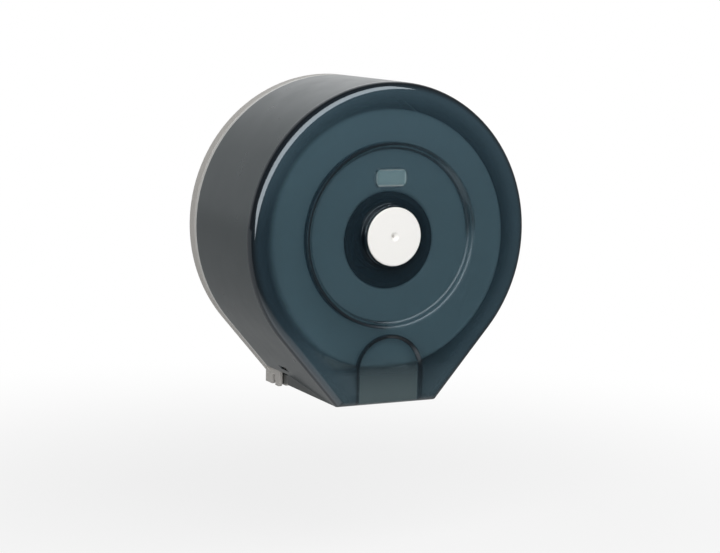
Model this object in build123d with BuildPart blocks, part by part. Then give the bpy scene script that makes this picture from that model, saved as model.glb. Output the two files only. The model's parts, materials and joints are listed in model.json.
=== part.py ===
from build123d import *
from math import acos, atan2, cos, hypot, sin
import os

# Jumbo toilet roll dispenser for a wall, with a smoked cover that drops forwards on two
# hinge pins, a free-turning drum that carries the roll, and a turning lock in the cover.
#
# Millimetres. X runs to the viewer's right, Y into the wall and Z up. The origin is where
# the spindle's axis meets the wall. A depth is measured from the wall towards the viewer,
# so a depth d lies at Y = -d.

os.makedirs("parts", exist_ok=True)

# --- Body outline: a disc with two flanks that run down to a narrow foot -----------------
body_r = 135.0  # round part of the cover and of the back plate
foot_half = 48.6  # half the width of the foot
foot_drop = 150.8  # foot below the spindle's axis
body_depth = 142.4  # front face from the wall
wall = 2.2  # cover wall
edge_round = 9.5  # rounding of the cover's front edge

# --- Back plate ---------------------------------------------------------------------------
plate_t = 3.0
rim_depth = 11.7  # rim that the cover closes against
rim_wall = 3.2
seam_gap = 0.3  # between the rim and the closed cover
ridge_wall = 2.0  # ridge that guides the cover's rear edge
ridge_reach = 3.6  # ridge past the rim
ridge_gap = 0.5  # ridge to the inside of the cover
rib_t = 1.8
rib_depth = 9.0
rib_count = 8
boss_r = 24.0  # boss under the spindle's flange
boss_depth = 14.0
wall_hole_r = 2.75
wall_hole_x = 160.0  # hole spacing across
wall_hole_z = 120.0  # hole spacing up
wall_pad_r = 9.0
wall_pad_depth = 5.0

# --- Hinge bracket, pins and cover ears ---------------------------------------------------
hinge_depth = 28.0
hinge_rise = 6.3  # hinge above the foot
pin_r = 2.0
pin_fit = 0.08  # radial running fit of the ear on its pin
ear_round = 5.2  # ear around the pin
ear_x = 50.4  # inner face of the ear
ear_t = 3.0
ear_gap = 0.6  # ear to each cheek
cheek_t = 3.2
cheek_reach = 31.5
cheek_below = 0.7  # cheeks below the foot
cheek_height = 19.5
cheek_round = 3.0
pin_bite = 2.2  # blind end of the pin in the outer cheek
slot_depth = 18.0  # relief slot through both cheeks, from the wall
slot_half = 2.7
slot_height = 9.4  # slot above the cheek's lower edge
slot_eye_r = 4.0
slot_eye_rise = 2.1

# --- Lower corners of the cover -----------------------------------------------------------
corner_depth = 62.0  # where the side facets and the floor ledges begin
corner_rise = 16.8  # rear edge of the flank ends this high above the foot, over the bracket
corner_share = 0.75  # part of the facets that is hollow inside
ledge_rise = 7.2  # ledge at its rear end, above the foot
ledge_x = 44.0  # half the width of the paper outlet
lip_width = 4.9  # front lip, behind the rounded edge
slit_behind, slit_ahead = 4.0, 12.0  # slit that frees each flank, about the corner's depth
slit_rise = 5.4  # slit above the end of the flank's rear edge
slit_t = 3.0
ear_run = 36.0  # ears run forwards along the ledges this far past the corner's depth
ear_height = 5.0  # above the ledge

# --- Recessed disc, thumb arch and sight window -------------------------------------------
recess_r = 81.1  # at the front face
recess_floor_r = 77.2
recess_depth = 5.0
arch_half = 32.6  # at the front face
arch_floor_half = 29.4
arch_depth = 2.6
arch_wall = 1.6  # thinner than the rest of the cover
arch_rise = 30.2  # centre of the arch's round top, above the foot
window_w, window_h, window_round = 30.0, 14.6, 4.4
window_z = 51.0
window_fit = 0.1
window_proud = 0.5
window_flange = 1.8
window_flange_t = 0.6

# --- Lock in the middle of the cover ------------------------------------------------------
collar_r = 28.4
collar_proud = 0.9  # collar before the front face
collar_edge = 0.7
bore_r = 20.0  # bore of the collar
housing_fit = 0.05
housing_flange_r = 31.0
housing_flange_t = 3.0
barrel_r = 9.0
barrel_fit = 0.06
barrel_tail = 2.4  # barrel behind the housing, with the groove for its clip
knob_r = 26.0
knob_t = 1.9
knob_gap = 0.3  # knob to collar and housing
knob_bevel = 0.7
key_mouth_r, key_r, key_depth = 4.0, 1.3, 5.5
clip_t = 0.9
clip_r = 11.6
clip_groove = 1.2
stem_r = 4.0
tang = 5.2  # square end of the stem, in the cam
tang_fit = 0.05
cam_t = 3.0
stem_length = 7.2  # from the barrel to the cam
cam_hub_r = 6.0
cam_reach = 13.0
cam_half = 3.4

# --- Spindle, drum and roll ---------------------------------------------------------------
spindle_flange_r = 22.0
spindle_flange_t = 4.0
shoulder_r = 12.0
shoulder_t = 3.7
shaft_r = 8.0
shaft_fit = 0.06  # radial running fit of each bush on the shaft
end_play = 0.3
hub_r = 13.0
bush_r = 10.0
bush_length = 12.0
hub_relief = 0.8  # bore between the bushes, clear of the shaft
drum_r = 33.4
drum_wall = 2.4
drum_inset = 7.0  # drum behind the roll's front
drum_flange_r = 48.0
drum_flange_t = 2.4
drum_flange_set = 15.7  # front of the flange, from the rear of the hub
drum_rib_t = 1.8
drum_rib_count = 6
drum_mouth = 33.0  # open part of the tube, before the ribs
drum_lip = 0.8
press_gap = 0.02  # bush in its seat
roll_r = 115.5
roll_gap = 1.2  # roll to the recessed disc
core_bore_r = 38.0
core_wall = 4.7
core_gap = 0.3  # core to the top of the drum
glue_gap = 0.05
washer_t = 1.2
washer_r = 13.0
cap_r = 14.0
cap_t = 3.0
keeper_t = 2.0
keeper_half = 8.0
keeper_low = 6.8  # lower edge of the lip that the cam catches
keeper_high = 17.0
keeper_gap = 0.4  # cam to lip
keeper_reach = 18.0  # bracket before the cap
keeper_foot = 8.0  # bracket below the spindle's axis

# --- Fasteners ----------------------------------------------------------------------------
screw_fit = 0.1
spindle_screw_r, spindle_screw_head_r, spindle_screw_head_t = 2.0, 3.8, 2.4
spindle_screw_ring_r = 16.0
spindle_screw_length = 12.0
end_screw_r, end_screw_head_r, end_screw_head_t = 2.0, 4.6, 2.8
end_screw_length = 16.0
housing_screw_r, housing_screw_head_r, housing_screw_head_t = 1.3, 2.6, 1.8
housing_screw_ring_r = 24.4
housing_screw_length = 8.0
cam_screw_r, cam_screw_head_r, cam_screw_head_t = 1.5, 3.2, 2.0
cam_screw_length = 9.0

# --- Tear bar -----------------------------------------------------------------------------
tear_half = 40.0
tear_t = 1.2
tear_rise = 4.5  # blade above the lip
tear_foot = 4.4  # foot on the lip
tooth_pitch = 2.5
tooth_drop = 2.0

# --- Worked-out places --------------------------------------------------------------------
foot_reach = hypot(foot_half, foot_drop)
tangent_angle = acos(body_r / foot_reach) - atan2(foot_drop, foot_half)
tangent_x = body_r * cos(tangent_angle)
tangent_z = body_r * sin(tangent_angle)
flank_run = (tangent_x - foot_half) / (tangent_z + foot_drop)  # outwards per unit of rise
below = -foot_drop - foot_half  # well under the foot

cover_rear = rim_depth + seam_gap
face_inner = body_depth - wall
floor_front = body_depth - recess_depth  # recessed disc, outer side
floor_rear = floor_front - wall  # recessed disc, inner side
corner_front = body_depth - edge_round
corner_space_front = corner_depth + corner_share * (corner_front - corner_depth)
corner_top = foot_drop - corner_rise
corner_floor = foot_drop - ledge_rise
lip_depth = corner_front - lip_width
arch_drop = foot_drop - arch_rise
arch_rear = body_depth - arch_depth - arch_wall

hinge_drop = foot_drop - hinge_rise
cheek_drop = foot_drop + cheek_below
cheek_outer = ear_x + ear_t + ear_gap  # inner face of the outer cheek
cheek_inner = ear_x - ear_gap  # outer face of the inner cheek
bracket_x = cheek_outer + cheek_t
slot_eye_drop = cheek_drop - slot_eye_rise
pin_length = cheek_outer + pin_bite - cheek_inner + cheek_t
ear_front = corner_depth + ear_run

collar_front = body_depth + collar_proud
housing_rear = floor_rear - housing_flange_t
barrel_rear = housing_rear - barrel_tail
clip_rear = housing_rear - end_play - clip_t
knob_rear = collar_front + knob_gap
knob_front = knob_rear + knob_t
cam_front = barrel_rear - stem_length
cam_rear = cam_front - cam_t

lip_rear = cam_front + keeper_gap  # lip of the keeper that the cam catches
cap_front = lip_rear + keeper_t - keeper_reach
keeper_base_front = cap_front + keeper_t
shaft_front = cap_front - cap_t
spindle_flange_front = boss_depth + spindle_flange_t
shoulder_front = spindle_flange_front + shoulder_t
hub_rear = shoulder_front + end_play
hub_front = shaft_front - washer_t - end_play
drum_flange_front = hub_rear + drum_flange_set
roll_rear = drum_flange_front + end_play
roll_front = floor_rear - roll_gap
roll_width = roll_front - roll_rear
drum_front = roll_front - drum_inset
core_r = core_bore_r + core_wall
roll_z = drum_r + core_gap - core_bore_r  # the core hangs on the top of the drum


def at_depth(depth):
    """A sketch plane parallel to the wall: x to the right, y up, normal to the viewer."""
    return Plane.XZ.offset(depth)


def from_side(x):
    """A sketch plane square to the hinge: x is minus the depth, y up, normal to the right."""
    return Plane.YZ.offset(x)


def flank_x(z):
    """Half the width of the body at height z on its straight flanks."""
    return foot_half + (z + foot_drop) * flank_run


def inner_flank_z(x):
    """Height at which the inner side of the cover's flank is x from the middle."""
    return (x + wall * hypot(1, flank_run) - foot_half) / flank_run - foot_drop


def body_outline(inset=0.0, half_width=foot_half):
    """The body's outline, drawn inwards by inset, with straight sides past half_width."""
    with BuildSketch() as outline:
        with BuildLine():
            ThreePointArc((tangent_x, tangent_z), (0, body_r), (-tangent_x, tangent_z))
            if half_width > foot_half:
                knee_z = (half_width - foot_half) / flank_run - foot_drop
                Polyline(
                    (-tangent_x, tangent_z),
                    (-half_width, knee_z),
                    (-half_width, -foot_drop),
                    (half_width, -foot_drop),
                    (half_width, knee_z),
                    (tangent_x, tangent_z),
                )
            else:
                Polyline(
                    (-tangent_x, tangent_z),
                    (-foot_half, -foot_drop),
                    (foot_half, -foot_drop),
                    (tangent_x, tangent_z),
                )
        make_face()
        if inset:
            offset(amount=-inset, kind=Kind.INTERSECTION)
    return outline.sketch


def arch_outline(half, low):
    """The thumb arch: a round top of radius half on straight sides that end at low."""
    with BuildSketch() as outline:
        with Locations((0, -arch_drop)):
            Circle(half)
        with Locations((0, -low)):
            Rectangle(2 * half, low, align=(Align.CENTER, Align.MIN), mode=Mode.INTERSECT)
        with Locations((0, -arch_drop)):
            Rectangle(2 * half, low - arch_drop, align=(Align.CENTER, Align.MAX))
    return outline.sketch


def ledge_z(depth, rise=0.0):
    """Underside of the cover's side ledges at a depth, or rise above it."""
    share = (depth - corner_depth) / (corner_front - corner_depth)
    return -corner_floor - share * (foot_drop - corner_floor) + rise


def facet_x(depth, inset=0.0):
    """Outer side of the upright facet at a depth, or inset inside it."""
    share = (depth - corner_depth) / (corner_front - corner_depth)
    return flank_x(-corner_top) * (1 - share) + foot_half * share - inset


def finish(piece, name):
    """Labels a finished piece and writes it."""
    piece.part.label = name
    export_step(piece.part, f"parts/{name}.step")


def to_wall(depth):
    """A sketch plane parallel to the wall: x to the right, y down, normal to the wall."""
    return Plane(origin=(0, -depth, 0), x_dir=(1, 0, 0), z_dir=(0, 1, 0))


def slab_x(inner_x, thickness, side):
    """Lower X of a slab that starts at inner_x on the right (side 1) or the left (-1)."""
    return inner_x if side > 0 else -(inner_x + thickness)


def pan_screw(shank_r, length, head_r, head_t):
    """Adds a screw at each location: its head above the plane and its shank below."""
    Cylinder(shank_r, length, align=(Align.CENTER, Align.CENTER, Align.MAX))
    Cylinder(head_r, head_t, align=(Align.CENTER, Align.CENTER, Align.MIN))


# --- Back plate: base, rim, ridge, ribs, spindle boss, wall pads and hinge cheeks ---------
with BuildPart() as back_plate:
    with BuildSketch(at_depth(0)):
        add(body_outline(half_width=bracket_x))
    extrude(amount=plate_t)
    with BuildSketch(at_depth(plate_t)):
        add(body_outline(half_width=bracket_x))
        add(body_outline(rim_wall, bracket_x), mode=Mode.SUBTRACT)
    extrude(amount=rim_depth - plate_t)
    with BuildSketch(at_depth(plate_t)):
        Circle(body_r - wall - ridge_gap)
        Circle(body_r - wall - ridge_gap - ridge_wall, mode=Mode.SUBTRACT)
        with Locations((0, boss_r)):
            Rectangle(2 * body_r, body_r, align=(Align.CENTER, Align.MIN), mode=Mode.INTERSECT)
    extrude(amount=rim_depth + ridge_reach - plate_t)
    with BuildSketch(at_depth(plate_t)):
        with PolarLocations(0, rib_count):
            Rectangle(body_r - rim_wall / 2, rib_t, align=(Align.MIN, Align.CENTER))
    extrude(amount=rib_depth - plate_t)
    with BuildSketch(at_depth(plate_t)):
        Circle(boss_r)
    extrude(amount=boss_depth - plate_t)
    with BuildSketch(at_depth(plate_t)):
        with GridLocations(wall_hole_x, wall_hole_z, 2, 2):
            Circle(wall_pad_r)
    extrude(amount=wall_pad_depth - plate_t)
    with BuildSketch(at_depth(0)):
        with GridLocations(wall_hole_x, wall_hole_z, 2, 2):
            Circle(wall_hole_r)
    extrude(amount=wall_pad_depth, mode=Mode.SUBTRACT)
    with BuildSketch(at_depth(boss_depth)):
        with PolarLocations(spindle_screw_ring_r, 3, start_angle=90):
            Circle(spindle_screw_r + screw_fit)
    extrude(amount=spindle_flange_t - spindle_screw_length - screw_fit, mode=Mode.SUBTRACT)
    for side in (1, -1):
        for inner_x in (cheek_outer, cheek_inner - cheek_t):
            with BuildSketch(from_side(slab_x(inner_x, cheek_t, side))) as cheek:
                with Locations((0, -cheek_drop)):
                    Rectangle(cheek_reach, cheek_height, align=(Align.MAX, Align.MIN))
                fillet(cheek.vertices().group_by(Axis.X)[0].sort_by(Axis.Y)[0], cheek_round)
            extrude(amount=cheek_t)
            with BuildSketch(from_side(slab_x(inner_x, cheek_t, side))):
                with Locations((-slot_depth, -slot_eye_drop)):
                    Circle(slot_eye_r)
                    Rectangle(
                        2 * slot_half,
                        slot_height - slot_eye_rise,
                        align=(Align.CENTER, Align.MIN),
                    )
            extrude(amount=cheek_t, mode=Mode.SUBTRACT)
        with BuildSketch(from_side(slab_x(cheek_inner - cheek_t, cheek_t, side))):
            with Locations((-hinge_depth, -hinge_drop)):
                Circle(pin_r)
        extrude(amount=cheek_t, mode=Mode.SUBTRACT)
        with BuildSketch(from_side(slab_x(cheek_outer, pin_bite, side))):
            with Locations((-hinge_depth, -hinge_drop)):
                Circle(pin_r)
        extrude(amount=pin_bite, mode=Mode.SUBTRACT)
finish(back_plate, "back_plate")

# --- Hinge pins: from each inner cheek, through the ear, into the outer cheek -------------
with BuildPart() as hinge_pin_right:
    with BuildSketch(from_side(cheek_inner - cheek_t)):
        with Locations((-hinge_depth, -hinge_drop)):
            Circle(pin_r)
    extrude(amount=pin_length)
finish(hinge_pin_right, "hinge_pin_right")

with BuildPart() as hinge_pin_left:
    with BuildSketch(from_side(-cheek_outer - pin_bite)):
        with Locations((-hinge_depth, -hinge_drop)):
            Circle(pin_r)
    extrude(amount=pin_length)
finish(hinge_pin_left, "hinge_pin_left")

# --- The space inside the cover -----------------------------------------------------------
with BuildPart() as cover_space:
    with BuildSketch(at_depth(0)):
        add(body_outline(wall))
    extrude(amount=face_inner)
    fillet(cover_space.faces().sort_by(Axis.Y)[0].edges(), edge_round - wall)
    with BuildSketch(from_side(0)):
        Polygon(
            (-corner_front, ledge_z(corner_front, wall)),
            (0, ledge_z(0, wall)),
            (0, below),
            (-corner_front, below),
            align=None,
        )
    extrude(amount=body_r, both=True, mode=Mode.SUBTRACT)
    for side in (1, -1):
        corners = []
        for depth in (corner_depth - wall / 2, corner_space_front):
            x = facet_x(depth, wall)
            for z in (ledge_z(depth, wall), inner_flank_z(x)):
                corners += [(side * x, -depth, z), (side * ledge_x, -depth, z)]
        ConvexPolyhedron(corners)

# --- Cover: shell, hinge ears, recessed disc, thumb arch, collar and openings -------------
with BuildPart() as cover_shell:
    with BuildSketch(at_depth(cover_rear)):
        add(body_outline())
    extrude(amount=body_depth - cover_rear)
    fillet(cover_shell.faces().sort_by(Axis.Y)[0].edges(), edge_round)
    for side in (1, -1):
        corners = [(side * foot_half, -corner_front, -foot_drop)]
        corners += [(side * ledge_x, -corner_front, z) for z in (-foot_drop, wall - foot_drop)]
        for x in (facet_x(corner_depth), ledge_x):
            corners += [(side * x, -corner_depth, -drop) for drop in (corner_floor, corner_top)]
        ConvexPolyhedron(corners)
    with BuildSketch(from_side(0)):
        Polygon(
            (-corner_front, -foot_drop),
            (-corner_depth, -corner_floor),
            (-corner_depth, -corner_top),
            (0, -corner_top),
            (0, below),
            (-corner_front, below),
            align=None,
        )
    extrude(amount=body_r, both=True, mode=Mode.SUBTRACT)
    add(cover_space.part, mode=Mode.SUBTRACT)
    # material behind the recessed disc and the thumb arch, then the two recesses
    with BuildSketch(at_depth(floor_rear)):
        Circle(recess_r + wall)
    extrude(amount=face_inner - floor_rear)
    with BuildSketch(at_depth(arch_rear)):
        add(arch_outline(arch_half + wall, foot_drop - edge_round / 2))
    extrude(amount=face_inner - arch_rear)
    with Locations(at_depth(floor_front)):
        Cone(
            recess_floor_r,
            recess_r,
            recess_depth,
            align=(Align.CENTER, Align.CENTER, Align.MIN),
            mode=Mode.SUBTRACT,
        )
    with BuildSketch(at_depth(body_depth - arch_depth)):
        add(arch_outline(arch_floor_half, -below))
    with BuildSketch(at_depth(body_depth)):
        add(arch_outline(arch_half, -below))
    loft(ruled=True, mode=Mode.SUBTRACT)
    with BuildSketch(at_depth(floor_front)):
        Circle(collar_r)
    extrude(amount=collar_front - floor_front)
    chamfer(cover_shell.edges().filter_by(GeomType.CIRCLE).sort_by(Axis.Y)[0], collar_edge)
    with BuildSketch(at_depth(floor_rear)):
        Circle(bore_r)
        with Locations((0, window_z)):
            RectangleRounded(
                window_w + 2 * window_fit, window_h + 2 * window_fit, window_round + window_fit
            )
    extrude(amount=collar_front - floor_rear, mode=Mode.SUBTRACT)
    with BuildSketch(at_depth(floor_rear)):
        with PolarLocations(housing_screw_ring_r, 3, start_angle=90):
            Circle(housing_screw_r + screw_fit)
    extrude(amount=housing_screw_length - housing_flange_t + screw_fit, mode=Mode.SUBTRACT)
    # paper outlet, between the two side ledges and behind the front lip
    with BuildSketch(Plane.XY.offset(below)):
        Rectangle(2 * ledge_x, lip_depth, align=(Align.CENTER, Align.MAX))
    extrude(amount=wall - corner_floor - below, mode=Mode.SUBTRACT)
    for side in (1, -1):
        with BuildSketch(from_side(slab_x(ear_x, ear_t, side))):
            with Locations((-hinge_depth, -hinge_drop)):
                Circle(ear_round)
            Polygon(
                (-hinge_depth, ear_round - hinge_drop),
                (-ear_front, ear_height - corner_floor),
                (-ear_front, ledge_z(ear_front, wall / 2)),
                (-corner_depth, ledge_z(corner_depth, wall / 2)),
                (-hinge_depth, -ear_round - hinge_drop),
                align=None,
            )
        extrude(amount=ear_t)
        with BuildSketch(from_side(slab_x(ear_x, ear_t, side))):
            with Locations((-hinge_depth, -hinge_drop)):
                Circle(pin_r + pin_fit)
        extrude(amount=ear_t, mode=Mode.SUBTRACT)
        with BuildSketch(from_side(slab_x(bracket_x, body_r, side))):
            with Locations((slit_behind - corner_depth, slit_rise - corner_top)):
                Rectangle(slit_behind + slit_ahead, slit_t, align=(Align.MAX, Align.MIN))
        extrude(amount=body_r, mode=Mode.SUBTRACT)
finish(cover_shell, "cover_shell")

# --- Sight window: a pane in the recessed disc, held by its inner flange ------------------
with BuildPart() as window_pane:
    with BuildSketch(at_depth(floor_rear)):
        with Locations((0, window_z)):
            RectangleRounded(window_w, window_h, window_round)
    extrude(amount=wall + window_proud)
    with BuildSketch(at_depth(floor_rear)):
        with Locations((0, window_z)):
            RectangleRounded(
                window_w + 2 * window_flange,
                window_h + 2 * window_flange,
                window_round + window_flange,
            )
    extrude(amount=-window_flange_t)
finish(window_pane, "window_pane")

# --- Tear bar: a toothed blade behind the front lip, on a foot that follows the lip -------
with BuildPart() as tear_bar:
    with BuildSketch(from_side(-tear_half)):
        Polygon(
            (-lip_depth, ledge_z(lip_depth, wall)),
            (-lip_depth - tear_foot, ledge_z(lip_depth + tear_foot, wall)),
            (-lip_depth - tear_foot, ledge_z(lip_depth + tear_foot, wall + tear_t)),
            (-lip_depth, ledge_z(lip_depth, wall + tear_t)),
            (-lip_depth, ledge_z(lip_depth, wall + tear_rise)),
            (-lip_depth + tear_t, ledge_z(lip_depth, wall + tear_rise)),
            (-lip_depth + tear_t, ledge_z(lip_depth, tooth_drop)),
            (-lip_depth, ledge_z(lip_depth, tooth_drop)),
            align=None,
        )
    extrude(amount=2 * tear_half)
    with BuildSketch(at_depth(lip_depth - tear_t)):
        with GridLocations(tooth_pitch, 0, int(2 * tear_half / tooth_pitch), 1):
            Polygon(
                (-tooth_pitch / 2, ledge_z(lip_depth, tooth_drop)),
                (tooth_pitch / 2, ledge_z(lip_depth, tooth_drop)),
                (0, ledge_z(lip_depth)),
                align=None,
            )
    extrude(amount=tear_t)
finish(tear_bar, "tear_bar")

# --- Lock housing: a flanged sleeve in the cover's collar ---------------------------------
with BuildPart() as lock_housing:
    with BuildSketch(at_depth(housing_rear)):
        Circle(housing_flange_r)
    extrude(amount=housing_flange_t)
    with BuildSketch(at_depth(floor_rear)):
        Circle(bore_r - housing_fit)
    extrude(amount=collar_front - floor_rear)
    with BuildSketch(at_depth(housing_rear)):
        Circle(barrel_r + barrel_fit)
    extrude(amount=collar_front - housing_rear, mode=Mode.SUBTRACT)
    with BuildSketch(at_depth(housing_rear)):
        with PolarLocations(housing_screw_ring_r, 3, start_angle=90):
            Circle(housing_screw_r + screw_fit)
    extrude(amount=housing_flange_t, mode=Mode.SUBTRACT)
finish(lock_housing, "lock_housing")

with BuildPart(to_wall(housing_rear)) as housing_screws:
    with PolarLocations(housing_screw_ring_r, 3, start_angle=-90):
        pan_screw(
            housing_screw_r, housing_screw_length, housing_screw_head_r, housing_screw_head_t
        )
    chamfer(housing_screws.edges().group_by(Axis.Y)[-1], housing_screw_head_t / 3)
finish(housing_screws, "housing_screws")

# --- Lock knob: a disc on a barrel, with a key mouth, a clip groove and a square tang -----
with BuildPart() as lock_knob:
    with BuildSketch(at_depth(knob_rear)):
        Circle(knob_r)
    extrude(amount=knob_t)
    chamfer(lock_knob.faces().sort_by(Axis.Y)[0].edges(), knob_bevel)
    with BuildSketch(at_depth(barrel_rear)):
        Circle(barrel_r)
    extrude(amount=knob_rear - barrel_rear)
    with BuildSketch(at_depth(clip_rear)):
        Circle(barrel_r + clip_t)
        Circle(barrel_r - clip_groove, mode=Mode.SUBTRACT)
    extrude(amount=clip_t, mode=Mode.SUBTRACT)
    with BuildSketch(at_depth(cam_front)):
        Circle(stem_r)
    extrude(amount=barrel_rear - cam_front)
    with BuildSketch(at_depth(cam_rear)):
        Rectangle(tang, tang)
    extrude(amount=cam_t)
    with BuildSketch(at_depth(cam_rear)):
        Circle(cam_screw_r + screw_fit)
    extrude(amount=cam_screw_length + screw_fit, mode=Mode.SUBTRACT)
    with Locations(at_depth(knob_front)):
        CounterSinkHole(key_r, key_mouth_r, depth=key_depth, counter_sink_angle=90)
finish(lock_knob, "lock_knob")

# --- Barrel clip: an open ring in the barrel's groove -------------------------------------
with BuildPart() as barrel_clip:
    with BuildSketch(at_depth(clip_rear)):
        Circle(clip_r)
        Circle(barrel_r - clip_groove + glue_gap, mode=Mode.SUBTRACT)
        Rectangle(barrel_r, clip_r, align=(Align.CENTER, Align.MAX), mode=Mode.SUBTRACT)
    extrude(amount=clip_t)
finish(barrel_clip, "barrel_clip")

# --- Lock cam: a hub with one finger, square on the tang ----------------------------------
with BuildPart() as lock_cam:
    with BuildSketch(at_depth(cam_rear)):
        Circle(cam_hub_r)
        Rectangle(cam_reach - cam_half, 2 * cam_half, align=(Align.MIN, Align.CENTER))
        with Locations((cam_reach - cam_half, 0)):
            Circle(cam_half)
        Rectangle(tang + 2 * tang_fit, tang + 2 * tang_fit, mode=Mode.SUBTRACT)
    extrude(amount=cam_t)
finish(lock_cam, "lock_cam")

with BuildPart(to_wall(cam_rear)) as cam_screw:
    pan_screw(cam_screw_r, cam_screw_length, cam_screw_head_r, cam_screw_head_t)
    chamfer(cam_screw.edges().group_by(Axis.Y)[-1], cam_screw_head_t / 3)
finish(cam_screw, "cam_screw")

# --- Spindle: a flange, a shoulder and the shaft that the drum turns on -------------------
with BuildPart() as spindle_post:
    with BuildSketch(at_depth(boss_depth)):
        Circle(spindle_flange_r)
    extrude(amount=spindle_flange_t)
    with BuildSketch(at_depth(spindle_flange_front)):
        Circle(shoulder_r)
    extrude(amount=shoulder_t)
    with BuildSketch(at_depth(shoulder_front)):
        Circle(shaft_r)
    extrude(amount=shaft_front - shoulder_front)
    with BuildSketch(at_depth(boss_depth)):
        with PolarLocations(spindle_screw_ring_r, 3, start_angle=90):
            Circle(spindle_screw_r + screw_fit)
    extrude(amount=spindle_flange_t, mode=Mode.SUBTRACT)
    with BuildSketch(at_depth(shaft_front)):
        Circle(end_screw_r + screw_fit)
    extrude(amount=-(end_screw_length - cap_t - keeper_t + screw_fit), mode=Mode.SUBTRACT)
finish(spindle_post, "spindle_post")

with BuildPart(at_depth(spindle_flange_front)) as spindle_screws:
    with PolarLocations(spindle_screw_ring_r, 3, start_angle=90):
        pan_screw(
            spindle_screw_r, spindle_screw_length, spindle_screw_head_r, spindle_screw_head_t
        )
    chamfer(spindle_screws.edges().group_by(Axis.Y)[0], spindle_screw_head_t / 3)
finish(spindle_screws, "spindle_screws")

# --- Drum end: thrust washer, cap, keeper for the cam, and the screw through them ---------
with BuildPart() as thrust_washer:
    with BuildSketch(at_depth(shaft_front - washer_t)):
        Circle(washer_r)
        Circle(shaft_r + shaft_fit, mode=Mode.SUBTRACT)
    extrude(amount=washer_t)
finish(thrust_washer, "thrust_washer")

with BuildPart() as drum_cap:
    with BuildSketch(at_depth(shaft_front)):
        Circle(cap_r)
        Circle(end_screw_r + screw_fit, mode=Mode.SUBTRACT)
    extrude(amount=cap_t)
    chamfer(drum_cap.faces().sort_by(Axis.Y)[0].outer_wire().edges(), cap_t / 4)
finish(drum_cap, "drum_cap")

with BuildPart() as lock_keeper:
    with BuildSketch(from_side(-keeper_half)):
        with Locations((-cap_front, -keeper_foot)):
            Rectangle(keeper_t, keeper_foot + keeper_high, align=(Align.MAX, Align.MIN))
        with Locations((-cap_front, keeper_high)):
            Rectangle(lip_rear + keeper_t - cap_front, keeper_t, align=(Align.MAX, Align.MAX))
        with Locations((-lip_rear, keeper_low)):
            Rectangle(keeper_t, keeper_high - keeper_low, align=(Align.MAX, Align.MIN))
    extrude(amount=2 * keeper_half)
    fillet(
        lock_keeper.edges().filter_by(Axis.X).group_by(Axis.Z)[-1], keeper_t
    )
    with BuildSketch(at_depth(cap_front)):
        Circle(end_screw_r + screw_fit)
    extrude(amount=keeper_t, mode=Mode.SUBTRACT)
finish(lock_keeper, "lock_keeper")

with BuildPart(at_depth(keeper_base_front)) as end_screw:
    pan_screw(end_screw_r, end_screw_length, end_screw_head_r, end_screw_head_t)
    chamfer(end_screw.edges().group_by(Axis.Y)[0], end_screw_head_t / 3)
finish(end_screw, "end_screw")

# --- Drum: flange, tube, ribs and hub, with a bush at each end of the hub -----------------
with BuildPart() as core_drum:
    with BuildSketch(at_depth(drum_flange_front - drum_flange_t)):
        Circle(drum_flange_r)
    extrude(amount=drum_flange_t)
    chamfer(core_drum.edges().group_by(Axis.Y)[-1], drum_flange_t / 4)
    with BuildSketch(at_depth(drum_flange_front)):
        Circle(drum_r)
        Circle(drum_r - drum_wall, mode=Mode.SUBTRACT)
    extrude(amount=drum_front - drum_flange_front)
    chamfer(core_drum.faces().sort_by(Axis.Y)[0].outer_wire().edges(), drum_lip)
    with BuildSketch(at_depth(drum_flange_front)):
        with PolarLocations(0, drum_rib_count):
            Rectangle(drum_r - drum_wall / 2, drum_rib_t, align=(Align.MIN, Align.CENTER))
    extrude(amount=drum_front - drum_mouth - drum_flange_front)
    with BuildSketch(at_depth(hub_rear)):
        Circle(hub_r)
    extrude(amount=hub_front - hub_rear)
    with BuildSketch(at_depth(hub_rear)):
        Circle(shaft_r + hub_relief)
    extrude(amount=hub_front - hub_rear, mode=Mode.SUBTRACT)
    for seat_rear in (hub_rear, hub_front - bush_length):
        with BuildSketch(at_depth(seat_rear)):
            Circle(bush_r)
        extrude(amount=bush_length, mode=Mode.SUBTRACT)
finish(core_drum, "core_drum")

with BuildPart() as rear_bush:
    with BuildSketch(at_depth(hub_rear)):
        Circle(bush_r - press_gap)
        Circle(shaft_r + shaft_fit, mode=Mode.SUBTRACT)
    extrude(amount=bush_length)
finish(rear_bush, "rear_bush")

with BuildPart() as front_bush:
    with BuildSketch(at_depth(hub_front - bush_length)):
        Circle(bush_r - press_gap)
        Circle(shaft_r + shaft_fit, mode=Mode.SUBTRACT)
    extrude(amount=bush_length)
finish(front_bush, "front_bush")

# --- Roll: a paper roll on its card core, which hangs on the top of the drum --------------
with BuildPart() as roll_core:
    with BuildSketch(at_depth(roll_rear)):
        with Locations((0, roll_z)):
            Circle(core_r)
            Circle(core_bore_r, mode=Mode.SUBTRACT)
    extrude(amount=roll_width)
finish(roll_core, "roll_core")

with BuildPart() as paper_roll:
    with BuildSketch(at_depth(roll_rear)):
        with Locations((0, roll_z)):
            Circle(roll_r)
            Circle(core_r + glue_gap, mode=Mode.SUBTRACT)
    extrude(amount=roll_width)
finish(paper_roll, "paper_roll")
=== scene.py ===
import json
import math

import bmesh
import bpy
from mathutils import Matrix, Vector


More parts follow.
